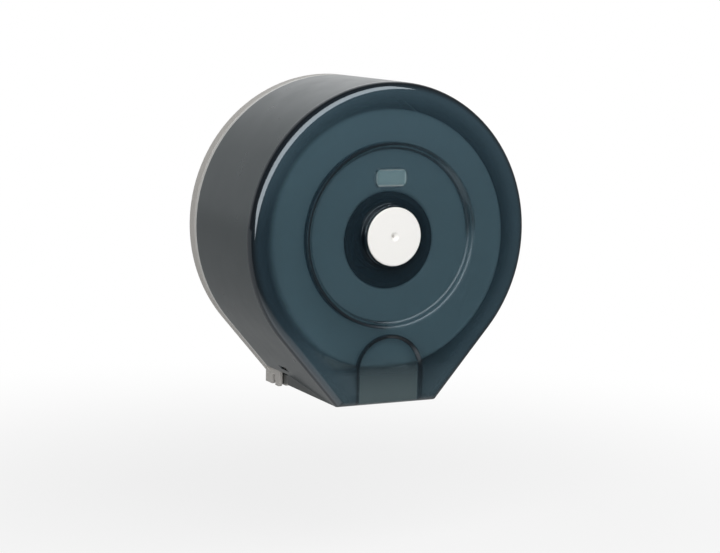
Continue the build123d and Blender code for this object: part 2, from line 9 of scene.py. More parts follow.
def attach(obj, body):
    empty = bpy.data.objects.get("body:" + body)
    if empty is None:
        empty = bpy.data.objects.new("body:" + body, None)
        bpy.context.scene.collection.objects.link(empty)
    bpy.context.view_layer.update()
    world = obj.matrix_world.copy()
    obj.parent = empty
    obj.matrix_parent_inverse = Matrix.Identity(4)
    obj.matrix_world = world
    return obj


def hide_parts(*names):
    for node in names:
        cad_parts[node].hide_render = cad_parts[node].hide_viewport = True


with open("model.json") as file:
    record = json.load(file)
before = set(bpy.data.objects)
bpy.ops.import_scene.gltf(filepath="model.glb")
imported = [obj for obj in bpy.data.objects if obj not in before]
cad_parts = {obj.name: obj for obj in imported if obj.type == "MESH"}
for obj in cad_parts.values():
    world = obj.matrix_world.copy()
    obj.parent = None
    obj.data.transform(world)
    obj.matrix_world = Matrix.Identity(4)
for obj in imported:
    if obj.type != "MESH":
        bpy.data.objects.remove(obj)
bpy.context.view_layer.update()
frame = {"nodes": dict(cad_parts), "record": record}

# Metres. A depth is measured from the wall towards the viewer, so a depth d lies at y = -d.
# A height is measured from the spindle's axis.
FILLET_DEPTH = 0.1329  # where the rounded front edge meets the side wall
LIP_DEPTH = 0.0169  # front of the pale lip on the side wall's rear edge
RIM_R = 0.1275  # where the face has turned into its rounded edge
RING_R = 0.0811  # recessed disc, at the face
RING_FLOOR_R = 0.0772
STEP_BAND = (0.0765, 0.0820)  # radii between which both edges of the disc's step lie
COLLAR_R = 0.0300  # the lock's collar, in the middle of the disc
ARCH_Z = -0.1206  # centre of the thumb arch's round top
ARCH_HALF = 0.0326
ARCH_FLOOR_HALF = 0.0294
FLANK = (0.760, 0.650)  # outwards and downwards, square to the cover's straight flanks
WINDOW_Z = 0.051
WINDOW_HOLE_HALF = (0.0175, 0.0100)  # across and up, with the hole's edges
PANE_HALF = (0.0151, 0.0074)
PANE_FLAT_HALF = (0.0132, 0.0056)
ROLL_Z = -0.0043  # the roll hangs this far below the axis
TEAR_HALF = 0.040
BLADE_DEPTH, BLADE_THICKNESS, BLADE_TOP = 0.1268, 0.0012, -0.1436
TOOTH_TIP, TOOTH_DROP = -0.1503, 0.002
FLOOR_Z = -0.30  # under the open cover
FLOOR_HALF = 12

# Radii of the cover's edges, and the folds from which an edge is rounded.
COVER_EDGE, STEP_EDGE, WINDOW_EDGE = 0.0008, 0.0016, 0.00015
FOLD = math.radians(25)
SLIGHT_FOLD = math.radians(10)  # the disc's step folds by only about 22 degrees


# --- Node trees -----------------------------------------------------------------------------
class Wire:
    """One output of a node; arithmetic on it adds Math nodes."""

    def __init__(self, graph, socket):
        self.graph = graph
        self.socket = socket

    def reckon(self, operation, *values):
        return self.graph.maths(operation, *values)

    def __add__(self, other):
        return self.reckon("ADD", self, other)

    def __sub__(self, other):
        return self.reckon("SUBTRACT", self, other)

    def __rsub__(self, other):
        return self.reckon("SUBTRACT", other, self)

    def __mul__(self, other):
        return self.reckon("MULTIPLY", self, other)

    def __truediv__(self, other):
        return self.reckon("DIVIDE", self, other)

    def __pow__(self, other):
        return self.reckon("POWER", self, other)

    def __or__(self, other):
        """The larger of two values."""
        return self.reckon("MAXIMUM", self, other)

    def __gt__(self, other):
        return self.reckon("GREATER_THAN", self, other)

    def __abs__(self):
        return self.reckon("ABSOLUTE", self)

    def __neg__(self):
        return self.reckon("MULTIPLY", self, -1.0)

    __radd__ = __add__
    __rmul__ = __mul__


class Graph:
    """A node tree that is built up node by node."""

    def __init__(self, tree):
        self.tree = tree

    def node(self, kind, settings=None, sockets=(), out=0):
        """Adds a node: its settings first, then the values or links of its sockets."""
        made = self.tree.nodes.new(kind)
        for key, value in (settings or {}).items():
            setattr(made, key, value)
        pairs = sockets.items() if isinstance(sockets, dict) else enumerate(sockets)
        for key, value in pairs:
            self.join(value, made.inputs[key])
        return Wire(self, made.outputs[out])

    def join(self, value, socket):
        """Links a node's output to a socket, or sets the socket's own value."""
        if isinstance(value, Wire):
            self.tree.links.new(value.socket, socket)
        elif socket.type == "RGBA":
            socket.default_value = (*value, 1)
        else:
            socket.default_value = value

    def maths(self, operation, *values):
        return self.node("ShaderNodeMath", {"operation": operation}, values)

    def parts(self, vector):
        """The x, y and z of a vector."""
        made = self.node("ShaderNodeSeparateXYZ", None, [vector]).socket.node
        return [Wire(self, socket) for socket in made.outputs]

    def vector(self, x, y, z):
        return self.node("ShaderNodeCombineXYZ", None, [x, y, z])

    def step(self, value, off, on):
        """0 as far as off and 1 from on, with a soft step between them. Either may be larger."""
        return self.node(
            "ShaderNodeMapRange",
            {"interpolation_type": "SMOOTHSTEP"},
            {"Value": value, "From Min": off, "From Max": on},
        )

    def band(self, value, low, high, soft):
        """1 between low and high, and 0 a soft step outside them."""
        return self.step(value, low - soft, low) * (1 - self.step(value, high, high + soft))


class Finish(Graph):
    """A material."""

    def __init__(self, name, **shader):
        self.material = bpy.data.materials.new(name)
        self.material.use_nodes = True
        super().__init__(self.material.node_tree)
        self.shader = self.tree.nodes["Principled BSDF"]
        self.place = self.node("ShaderNodeTexCoord", out="Object")
        for socket, value in shader.items():
            self.feed(socket.replace("_", " "), value)

    def feed(self, socket, value):
        """Sets or links one socket of the shader."""
        self.join(value, self.shader.inputs[socket])

    def noise(self, scale, detail=4, roughness=0.5, place=None):
        """Soft random values round 0.5, on the piece or on another place given."""
        sockets = {"Vector": place or self.place, "Scale": scale, "Detail": detail}
        return self.node("ShaderNodeTexNoise", None, {**sockets, "Roughness": roughness})

    def stretched(self, x, y, z):
        """The place on the piece, scaled along each axis."""
        return self.node("ShaderNodeMapping", None, {"Vector": self.place, "Scale": (x, y, z)})

    def show(self, shader):
        """Makes a shader what the surface shows."""
        self.join(shader, self.tree.nodes["Material Output"].inputs["Surface"])

    def shaded(self):
        """What the Principled shader gives."""
        return Wire(self, self.shader.outputs[0])

    def glaze(self, tint, solid):
        """Lets what lies behind show through, tinted, where solid is under 1."""
        clear = self.node("ShaderNodeBsdfTransparent", None, {"Color": tint})
        self.show(self.node("ShaderNodeMixShader", None, [solid, clear, self.shaded()]))

    def axes(self):
        """The x, y and z of the place on the piece."""
        return self.parts(self.place)

    def faces(self, axis):
        """1 on what faces along an axis, either way, and 0 on what lies along it."""
        normal = self.node("ShaderNodeTexCoord", out="Normal")
        return abs(self.node("ShaderNodeSeparateXYZ", None, [normal], out=axis))

    def radius(self, centre=(0, 0, 0), across=(1, 0, 1)):
        """Distance from a centre, measured only along the axes that across keeps."""
        back = tuple(-part for part in centre)
        flat = self.node(
            "ShaderNodeMapping", None, {"Vector": self.place, "Location": back, "Scale": across}
        )
        return self.node("ShaderNodeVectorMath", {"operation": "LENGTH"}, [flat], out="Value")

    def body_reach(self):
        """Distance from the axis on the round part of the body, and as far out on its flanks."""
        x, _, z = self.axes()
        across = abs(x)
        out, down = FLANK
        soft = 0.001
        low = self.step(across * -down - z * out, -soft, soft)
        return self.radius() * (1 - low) + (across * out - z * down) * low

    def blend(self, share, first, second):
        """A colour between two others."""
        return self.node(
            "ShaderNodeMix", {"data_type": "RGBA"}, {0: share, 6: first, 7: second}, out=2
        )

    def bump(self, height, depth):
        """A relief of that many metres from 0 to 1 of height."""
        self.feed("Normal", self.node("ShaderNodeBump", None, {"Height": height, "Distance": depth}))


class Pattern(Graph):
    """A Geometry Nodes tree with named inputs, which makes what repeats or follows a rule."""

    def __init__(self, name, **inputs):
        super().__init__(bpy.data.node_groups.new(name, "GeometryNodeTree"))
        face = self.tree.interface
        face.new_socket("Geometry", in_out="INPUT", socket_type="NodeSocketGeometry")
        face.new_socket("Geometry", in_out="OUTPUT", socket_type="NodeSocketGeometry")
        self.keys = {}
        for key, value in {**inputs, "seed": 1}.items():
            kind = "NodeSocketInt" if isinstance(value, int) else "NodeSocketFloat"
            socket = face.new_socket(key.replace("_", " "), in_out="INPUT", socket_type=kind)
            socket.default_value = value
            self.keys[key] = socket.identifier
        face.new_socket("Material", in_out="INPUT", socket_type="NodeSocketMaterial")
        self.keys["material"] = face.items_tree[-1].identifier
        self.source = self.tree.nodes.new("NodeGroupInput")
        self.sizes = inputs

    def given(self, key):
        """One input of the tree."""
        return Wire(self, self.source.outputs[key.replace("_", " ")])

    def place(self):
        return self.parts(self.node("GeometryNodeInputPosition"))

    def moved(self, geometry, **how):
        """Sets the position of every point, or adds an offset to it."""
        return self.node("GeometryNodeSetPosition", None, {"Geometry": geometry, **how})

    def joined(self, *geometries):
        made = self.node("GeometryNodeJoinGeometry")
        for geometry in geometries:
            self.join(geometry, made.socket.node.inputs[0])
        return made

    def close(self, geometry):
        """Ends the tree: real geometry with its material."""
        real = self.node("GeometryNodeRealizeInstances", None, [geometry])
        material = self.given("Material")
        coated = self.node("GeometryNodeSetMaterial", None, {0: real, "Material": material})
        self.join(coated, self.tree.nodes.new("NodeGroupOutput").inputs[0])
        return self

    def made(self, name, material, start=None, **sizes):
        """A plain mesh object from the tree, run on the start mesh."""
        piece = bpy.data.objects.new(name, start or bpy.data.meshes.new(name))
        bpy.context.scene.collection.objects.link(piece)
        modifier = piece.modifiers.new("pattern", "NODES")
        modifier.node_group = self.tree
        for key, value in {**self.sizes, **sizes, "material": material}.items():
            modifier[self.keys[key]] = value
        plain_mesh(piece)
        return piece


# --- Finishes -------------------------------------------------------------------------------
SMOKE = {
    "body": (0.008, 0.019, 0.028),
    "body_cloud": (0.011, 0.025, 0.036),
    # painted light: the face made lighter towards the top
    "top": (0.026, 0.047, 0.065),
    # painted light: a lighter band past the roll's edge
    "outer_painted_light": (0.032, 0.060, 0.078),
    # painted light: lighter towards the foot, most inside the thumb arch
    "low_painted_light": (0.074, 0.102, 0.108),
    # painted shade: the face's rounded edge made darker
    "outermost": (0.005, 0.010, 0.014),
    # near black: where the wall stands on edge, and painted shade on the disc's step
    "on_edge_and_painted_shade": (0.002, 0.004, 0.007),
    "window_edge": (0.030, 0.065, 0.080),
    "side": (0.012, 0.020, 0.020),
    "lip": (0.62, 0.61, 0.58),
    # painted light on the upright facet at the foot
    "foot_painted_light": (0.055, 0.055, 0.050),
    "seen_through": (0.82, 0.94, 0.985),
}


def arch_reach(made):
    """Distance from the middle line of the thumb arch, which ends in a half circle at the top."""
    x, _, z = made.axes()
    rise = (z - ARCH_Z) | 0.0
    return (x * x + rise * rise) ** 0.5


def disc_edges(made, to_left):
    """The two edges of the recessed disc's step, for painted shade and roughness. The inner one is
    fainter at the left.
    """
    radius = made.radius()
    outer = made.band(radius, RING_R - 0.0010, RING_R + 0.0010, 0.0006)
    inner = made.band(radius, RING_FLOOR_R - 0.0008, RING_FLOOR_R + 0.0008, 0.0005)
    return outer | (inner * (1 - to_left * 0.7))


def cover_face(made, low, arch):
    """The face's shades: painted light at the top, past the roll and at the foot, and painted shade on
    its rounded edge.
    """
    x, _, z = made.axes()
    reach = made.body_reach()
    lower_left = made.step(x, -0.07, -0.115) * made.step(z, 0.08, 0.0)
    # Painted light: a band past the roll's edge is made lighter, less so at the lower left.
    painted_outer_light = made.step(reach, 0.098, 0.120) * (0.9 - 0.8 * lower_left)
    shade = made.blend(made.noise(9, 3), SMOKE["body"], SMOKE["body_cloud"])
    # Painted light: the face is made lighter towards the top.
    shade = made.blend(made.step(z, 0.0, 0.13), shade, SMOKE["top"])
    shade = made.blend(painted_outer_light, shade, SMOKE["outer_painted_light"])
    # Painted light: lighter towards the foot, most within the thumb arch.
    shade = made.blend(low * (0.25 + 0.75 * arch), shade, SMOKE["low_painted_light"])
    # Painted shade: the rounded edge of the face is made darker.
    return made.blend(made.step(reach, RIM_R, 0.1325) * 0.85, shade, SMOKE["outermost"])


def cover_wall(made):
    """The side wall's shades, with the pale lip at its rear and painted light on the upright facet at
    its foot.
    """
    _, y, z = made.axes()
    lip = made.step(y, -LIP_DEPTH - 0.0003, -LIP_DEPTH + 0.0003)
    upright = 1 - made.step(made.faces("Z"), 0.2, 0.5)
    # Painted light: the upright facet at the foot is made lighter.
    facet = upright * made.step(z, -0.126, -0.132)
    return made.blend(facet, made.blend(lip, SMOKE["side"], SMOKE["lip"]), SMOKE["foot_painted_light"])


def smoked_plastic():
    """The cover: dark see-through plastic, polished at the front and satin at the sides.
    Where the wall stands on edge, more plastic is looked through and it turns dark; painted shade
    darkens the disc's step."""
    polish, smeared, clearness = 0.06, 0.03, 0.56
    made = Finish("smoked_plastic", IOR=1.62, Specular_IOR_Level=1.0, Specular_Tint=(0.84, 0.93, 1.0))
    x, y, z = made.axes()
    radius, arch_out, on_edge = made.radius(), arch_reach(made), 1 - made.faces("Y")
    side = made.step(y, -FILLET_DEPTH - 0.0002, -FILLET_DEPTH + 0.0006)
    rim = made.step(made.body_reach(), 0.112, RIM_R)
    low, to_left = made.step(z, -0.098, -0.146), made.step(x, 0.03, -0.05)
    arch = 1 - made.step(arch_out, ARCH_FLOOR_HALF - 0.0012, ARCH_FLOOR_HALF)
    arch_wall = made.band(arch_out, ARCH_FLOOR_HALF + 0.0006, ARCH_HALF - 0.0002, 0.0009)
    collar = 1 - made.step(radius, COLLAR_R, COLLAR_R + 0.0005)
    near_window = made.band(radius, 0.036, 0.070, 0.002)
    disc = disc_edges(made, to_left)
    disc_lit = made.step(x - z, 0.068, 0.088)  # where the disc's step faces the light
    # Dark where the rim and collar stand on edge, on the arch's walls, and as painted shade on the
    # disc's step.
    dark = made.step(on_edge, 0.15, 0.50) * (1 - near_window) * (rim | collar)
    # Painted shade on the disc's step: heavier at the left, left out where the step faces the light.
    dark = dark | (disc * (0.5 + 0.5 * to_left) * (1 - disc_lit)) | (arch_wall * (1 - low * 0.45))
    face = made.blend(dark, cover_face(made, low, arch), SMOKE["on_edge_and_painted_shade"])
    face = made.blend(made.step(on_edge, 0.5, 0.9) * near_window, face, SMOKE["window_edge"])
    made.feed("Base Color", made.blend(side, face, cover_wall(made)))
    smears = made.step(made.noise(30, 6, 0.6, made.stretched(1, 1, 0.35)), 0.45, 0.75)
    satin = side * (0.18 + 0.10 * made.noise(40, 3)) + disc * 0.22
    made.feed("Roughness", satin + smears * smeared + polish)
    made.bump(made.noise(16, 2), 0.0002)
    under_roll = made.step(z, -0.112, -0.122)
    clear = clearness * (1 - under_roll * (0.55 + 0.35 * arch))
    clear = clear * (1 - 0.85 * (dark | side | rim))
    made.glaze(SMOKE["seen_through"], 1 - clear)
    return made.material


def window_plastic():
    """The sight window: a clearer insert than the cover. Its flange hardly shows."""
    pane_alpha, flange_alpha = 0.40, 0.06
    made = Finish("window_plastic", IOR=1.5, Specular_IOR_Level=0.8)
    made.feed("Base Color", made.blend(made.noise(60), (0.085, 0.19, 0.22), (0.10, 0.21, 0.24)))
    made.feed("Roughness", made.noise(200, 3) * 0.10 + 0.25)
    x, _, z = made.axes()
    across = 1 - made.step(abs(x), PANE_FLAT_HALF[0], PANE_HALF[0])
    up = 1 - made.step(abs(z - WINDOW_Z), PANE_FLAT_HALF[1], PANE_HALF[1])
    made.feed("Alpha", across * up * (made.noise(80) * 0.04 + pane_alpha) + flange_alpha)
    return made.material


def moulded(name, colour, shade, roughness, grain=1500, depth=0.00004):
    """Opaque moulded plastic with a fine grain and slight mottling."""
    made = Finish(name, IOR=1.46)
    made.feed("Base Color", made.blend(made.noise(14, 5), colour, shade))
    made.feed("Roughness", made.noise(45, 4) * 0.12 + roughness)
    made.bump(made.noise(grain, 2), depth)
    return made.material


def metal(name, colour, roughness, stretch=(1, 1, 1), scale=900):
    """Bright metal with fine drawing or turning marks."""
    made = Finish(name, Metallic=1.0)
    marks = made.noise(scale, 4, 0.6, made.stretched(*stretch))
    shade = tuple(part * 0.82 for part in colour)
    made.feed("Base Color", made.blend(marks, shade, colour))
    made.feed("Roughness", marks * 0.16 + roughness)
    made.bump(marks, 0.00001)
    return made.material


def tissue():
    """The roll: soft white paper, with the edges of its layers on the two ends."""
    turns_per_metre, waver = 1400, 3
    made = Finish("tissue", Specular_IOR_Level=0.15)
    turns = made.radius((0, 0, ROLL_Z)) * turns_per_metre + made.noise(18) * waver
    layers = made.maths("FRACT", turns)
    fibres = made.noise(700, 5, 0.65)
    made.feed("Base Color", made.blend(fibres, (0.76, 0.75, 0.73), (0.83, 0.82, 0.81)))
    made.feed("Roughness", fibres * 0.1 + 0.85)
    made.bump(layers * 0.6 + fibres * 0.6, 0.0002)
    return made.material


def card():
    """Board of the roll's core, made near black as painted shade."""
    made = Finish("core_card", Specular_IOR_Level=0.2)
    fibres = made.noise(500, 5, 0.6, made.stretched(1, 3, 1))
    # Painted shade: the board is made near black.
    made.feed("Base Color", made.blend(fibres, (0.012, 0.011, 0.010), (0.035, 0.030, 0.026)))
    made.feed("Roughness", fibres * 0.1 + 0.8)
    made.bump(fibres, 0.0001)
    return made.material


FINISHES = {
    "smoked_plastic": smoked_plastic,
    "window_plastic": window_plastic,
    "grey_plastic": lambda: moulded(
        "grey_plastic", (0.46, 0.445, 0.42), (0.52, 0.505, 0.48), roughness=0.42
    ),
    "white_plastic": lambda: moulded(
        "white_plastic", (0.84, 0.83, 0.80), (0.88, 0.87, 0.85), roughness=0.28, grain=900
    ),
    "dark_plastic": lambda: moulded(
        "dark_plastic", (0.012, 0.014, 0.017), (0.02, 0.023, 0.027), roughness=0.32
    ),
    "bearing_plastic": lambda: moulded(
        "bearing_plastic", (0.70, 0.68, 0.62), (0.76, 0.74, 0.69), roughness=0.4
    ),
    "steel": lambda: metal("steel", (0.62, 0.62, 0.60), roughness=0.24, stretch=(1, 0.1, 1)),
    "screw_steel": lambda: metal("screw_steel", (0.70, 0.69, 0.66), roughness=0.2, scale=1500),
    "tissue": tissue,
    "core_card": card,
}

SLOTS = {
    "smoked_plastic": ["cover_shell"],
    "window_plastic": ["window_pane"],
    "grey_plastic": ["back_plate"],
    "white_plastic": ["lock_knob"],
    "dark_plastic": ["lock_housing", "core_drum", "drum_cap"],
    "bearing_plastic": ["front_bush", "rear_bush"],
    "steel": [
        "spindle_post", "hinge_pin_left", "hinge_pin_right", "lock_keeper", "lock_cam",
        "thrust_washer", "tear_bar", "barrel_clip",
    ],
    "screw_steel": ["spindle_screws", "housing_screws", "end_screw", "cam_screw"],
    "tissue": ["paper_roll"],
    "core_card": ["roll_core"],
}
SOFT_EDGES = {
    "back_plate": 0.0004, "lock_knob": 0.0002, "lock_housing": 0.0003, "core_drum": 0.0003,
    "drum_cap": 0.0003, "window_pane": 0.0003, "lock_keeper": 0.0002, "lock_cam": 0.0002,
    "spindle_post": 0.0002, "thrust_washer": 0.00015, "front_bush": 0.0002, "rear_bush": 0.0002,
    "barrel_clip": 0.0001, "hinge_pin_left": 0.0003, "hinge_pin_right": 0.0003, "roll_core": 0.0003,
}
BODIES = {node: body for body, nodes in frame["record"]["behaviour"]["bodies"].items() for node in nodes}


# --- Pieces ---------------------------------------------------------------------------------
def plain_mesh(piece):
    """Turns a piece's modifiers into its mesh."""
    shown = piece.evaluated_get(bpy.context.evaluated_depsgraph_get())
    mesh = bpy.data.meshes.new_from_object(shown)
    piece.modifiers.clear()
    piece.data = mesh


def put(piece, node):
    """Lets a new piece stand for a CAD node, on the same body."""
    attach(piece, BODIES[node])
    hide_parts(node)
    return piece


def cover_edge(place):
    """The radius of the cover's edges at a place, and the least fold that counts as one: wide
    on the recessed disc's step, small at the window."""
    if STEP_BAND[0] < math.hypot(place.x, place.z) < STEP_BAND[1]:
        return STEP_EDGE, SLIGHT_FOLD
    if abs(place.x) < WINDOW_HOLE_HALF[0] and abs(place.z - WINDOW_Z) < WINDOW_HOLE_HALF[1]:
        return WINDOW_EDGE, FOLD
    return COVER_EDGE, FOLD


def softened(node, name, edge, segments=3, edge_at=None):
    """A merged copy of a CAD piece with its sharp edges rounded by a moulder's small radius.
    Where that differs over the piece, edge_at gives it for a place, and edge is the largest."""
    mesh = frame["nodes"][node].data.copy()
    build = bmesh.new()
    build.from_mesh(mesh)
    same_place, flat = 2e-6, math.radians(0.5)
    bmesh.ops.remove_doubles(build, verts=build.verts, dist=same_place)
    bmesh.ops.dissolve_limit(build, angle_limit=flat, verts=build.verts, edges=build.edges)
    weight = build.edges.layers.float.new("bevel_weight_edge")
    for line in build.edges:
        middle = (line.verts[0].co + line.verts[1].co) / 2
        wanted, fold = edge_at(middle) if edge_at else (edge, FOLD)
        if line.calc_face_angle(0.0) > fold:
            line[weight] = wanted / edge
    build.to_mesh(mesh)
    build.free()
    mesh.shade_smooth()
    piece = bpy.data.objects.new(name, mesh)
    bpy.context.scene.collection.objects.link(piece)
    bevel = piece.modifiers.new("edges", "BEVEL")
    bevel.width, bevel.segments = edge, segments
    bevel.limit_method = "WEIGHT"
    bevel.use_clamp_overlap = False
    piece.modifiers.new("normals", "WEIGHTED_NORMAL")
    plain_mesh(piece)
    return put(piece, node)


def dress(piece, material):
    """Gives a piece its only material."""
    piece.data.materials.clear()
    piece.data.materials.append(material)


def screw_pattern():
    """Pan-head screws on a ring, with a cross recess in each head and a cut thread."""
    made = Pattern(
        "screws",
        head_radius=0.003, head_height=0.002, shank_radius=0.0015, length=0.008, pitch=0.0009,
        recess=0.0028, count=1, ring_radius=0.0, first_angle=0.0, seat_depth=0.1, facing=1.0,
    )
    crowned, overlap = 0.45, 1.1  # shares of the head's height
    narrow, cut = 0.24, 0.34  # shares of the recess's length and of the shank's radius
    rings_per_turn, most_spin = 4, 1.5
    height, shank, pitch = made.given("head_height"), made.given("shank_radius"), made.given("pitch")
    head = made.node(
        "GeometryNodeMeshCylinder",
        {"fill_type": "TRIANGLE_FAN"},
        {"Vertices": 32, "Fill Segments": 4, "Radius": made.given("head_radius"), "Depth": height},
    )
    x, y, z = made.place()
    out = (x * x + y * y) ** 0.5 / made.given("head_radius")
    crown = height * -crowned * out ** 3 * (z > 0)
    head = made.moved(head, Offset=made.vector(0, 0, crown + height * 0.5))
    recess = made.given("recess")
    for long, wide in ((recess, recess * narrow), (recess * narrow, recess)):
        bar = made.node("GeometryNodeMeshCube", None, [made.vector(long, wide, height * overlap)])
        bar = made.moved(bar, Offset=made.vector(0, 0, height))
        head = made.node(
            "GeometryNodeMeshBoolean",
            {"operation": "DIFFERENCE", "solver": "MANIFOLD"},
            {"Mesh 1": head, "Mesh 2": bar},
        )
    length = made.given("length")
    rings = length / pitch * rings_per_turn
    stem = made.node(
        "GeometryNodeMeshCylinder",
        {"fill_type": "NGON"},
        {"Vertices": 16, "Side Segments": rings, "Radius": shank, "Depth": length},
    )
    x, y, z = made.place()
    ahead = z / pitch + made.maths("ARCTAN2", y, x) / math.tau
    thin = 1 - abs(made.maths("FRACT", ahead) - 0.5) * cut
    stem = made.moved(stem, Position=made.vector(x * thin, y * thin, z - length * 0.5))
    count = made.given("count")
    ring = made.node("GeometryNodeMeshLine", None, {"Count": count})
    index = made.node("GeometryNodeInputIndex")
    angle = made.given("first_angle") + index * math.tau / count
    sine, cosine = made.maths("SINE", angle), made.maths("COSINE", angle)
    radius = made.given("ring_radius")
    ring = made.moved(ring, Position=made.vector(cosine * radius, sine * radius, 0.0))
    seed = {"Seed": made.given("seed")}
    spin = made.node("FunctionNodeRandomValue", {"data_type": "FLOAT"}, seed, out=1)
    turned = made.vector(0, 0, spin * most_spin)
    screws = made.node(
        "GeometryNodeInstanceOnPoints",
        None,
        {"Points": ring, "Instance": made.joined(head, stem), "Rotation": turned},
    )
    screws = made.node("GeometryNodeRealizeInstances", None, [screws])
    x, y, z = made.place()
    facing = made.given("facing")
    stood = made.vector(x, -(made.given("seat_depth") + z * facing), y * facing)
    return made.close(made.moved(screws, Position=stood))


def roll_pattern():
    """A wound roll: soft rims, turns that stand a little in or out at the ends, and some slack."""
    made = Pattern(
        "roll",
        inner=0.04, outer=0.11, rear=0.04, front=0.13, height=0.0, rim=0.002, shift=0.0005, slack=0.0004,
    )
    section_points, ring_points, rim_points = 260, 180, 5
    turns_per_metre, slack_scale, end_depth = 420, 14.0, 0.004
    inner, outer = made.given("inner"), made.given("outer")
    rear, front = made.given("rear"), made.given("front")
    section = made.node(
        "GeometryNodeCurvePrimitiveQuadrilateral", None, {"Width": outer - inner, "Height": front - rear}
    )
    section = made.node(
        "GeometryNodeFilletCurve", {"mode": "POLY"},
        {"Curve": section, "Count": rim_points, "Radius": made.given("rim"), "Limit Radius": True},
    )
    section = made.node(
        "GeometryNodeResampleCurve", {"mode": "COUNT"}, {"Curve": section, "Count": section_points}
    )
    middle = (inner + outer) * 0.5
    circle = made.node(
        "GeometryNodeCurvePrimitiveCircle", {"mode": "RADIUS"},
        {"Resolution": ring_points, "Radius": middle},
    )
    ring = made.node("GeometryNodeCurveToMesh", None, {"Curve": circle, "Profile Curve": section})
    x, y, z = made.place()
    radius = (x * x + y * y) ** 0.5
    turn = made.maths("ARCTAN2", y, x) / math.tau
    along = radius * turns_per_metre - turn + made.given("seed")
    wound = made.node(
        "ShaderNodeTexNoise", {"noise_dimensions": "1D"},
        {"W": along, "Scale": 1.0, "Detail": 3.0, "Roughness": 0.7},
    )
    around = made.node(
        "ShaderNodeTexNoise", {"noise_dimensions": "3D"},
        {"Vector": made.vector(x, y, 0.0), "Scale": slack_scale, "Detail": 2.0},
    )
    half = (front - rear) * 0.5
    near_end = made.step(abs(z), half - end_depth, half)
    long = z * (1 - wound * near_end * made.given("shift") / half)
    slim = 1 - around * made.given("slack") / outer * (radius > middle)
    stood = made.vector(x * slim, -(long + (front + rear) * 0.5), y * slim + made.given("height"))
    ring = made.moved(ring, Position=stood)
    smooth = made.node("GeometryNodeSetShadeSmooth", None, {"Geometry": ring, "Shade Smooth": True})
    return made.close(smooth)


def tooth_pattern():
    """Sharpened teeth in a row along a blade's lower edge."""
    made = Pattern("teeth", half=0.04, pitch=0.0025, drop=0.002, thickness=0.0012, depth=0.1, tip=-0.15)
    ground = 0.6  # share of the thickness that is gone at a tooth's tip
    half, pitch = made.given("half"), made.given("pitch")
    thickness, drop = made.given("thickness"), made.given("drop")
    row = made.node("GeometryNodeMeshLine", {"mode": "END_POINTS"}, {
        "Count": half * 2 / pitch,
        "Start Location": made.vector(pitch * 0.5 - half, 0, 0),
        "Offset": made.vector(half - pitch * 0.5, 0, 0),
    })
    size = made.vector(pitch, thickness, drop)
    tooth = made.node("GeometryNodeMeshCube", None, {"Size": size, "Vertices X": 3})
    x, y, z = made.place()
    point = 1 - abs(x) / (pitch * 0.5)  # 0 at the foot of the flanks and 1 on the middle line
    low = made.vector(x, y * (1 - point * ground), drop * -point)
    tooth = made.moved(tooth, Position=made.node(
        "ShaderNodeMix", {"data_type": "VECTOR"}, {0: z > 0, 4: low, 5: made.vector(x, y, 0.0)}, out=1
    ))
    teeth = made.node("GeometryNodeInstanceOnPoints", None, {"Points": row, "Instance": tooth})
    teeth = made.node("GeometryNodeRealizeInstances", None, [teeth])
    place = made.vector(0, -(made.given("depth") + thickness * 0.5), made.given("tip") + drop)
    teeth = made.moved(teeth, Offset=place)
    bar = Wire(made, made.source.outputs["Geometry"])
    return made.close(made.joined(bar, teeth))


def blade_mesh():
    """The tear bar's blade and its foot, as one strip. Its faces are made one by one, because an
    extrusion puts them in another order in each run."""
    rear, front, foot_front = BLADE_DEPTH, BLADE_DEPTH + BLADE_THICKNESS, 0.1324
    low = TOOTH_TIP + TOOTH_DROP
    outline = [
        (rear, low), (front, low), (front, -0.1481), (foot_front, -0.14855),
        (foot_front, -0.14735), (front, -0.1469), (front, BLADE_TOP), (rear, BLADE_TOP),
    ]
    build = bmesh.new()
    left, right = (
        [build.verts.new((x, -depth, z)) for depth, z in outline] for x in (-TEAR_HALF, TEAR_HALF)
    )
    build.faces.new(left)
    build.faces.new(right)
    for i in range(len(outline)):
        build.faces.new([left[i - 1], left[i], right[i], right[i - 1]])
    bmesh.ops.recalc_face_normals(build, faces=build.faces)
    mesh = bpy.data.meshes.new("blade")
    build.to_mesh(mesh)
    build.free()
    return mesh


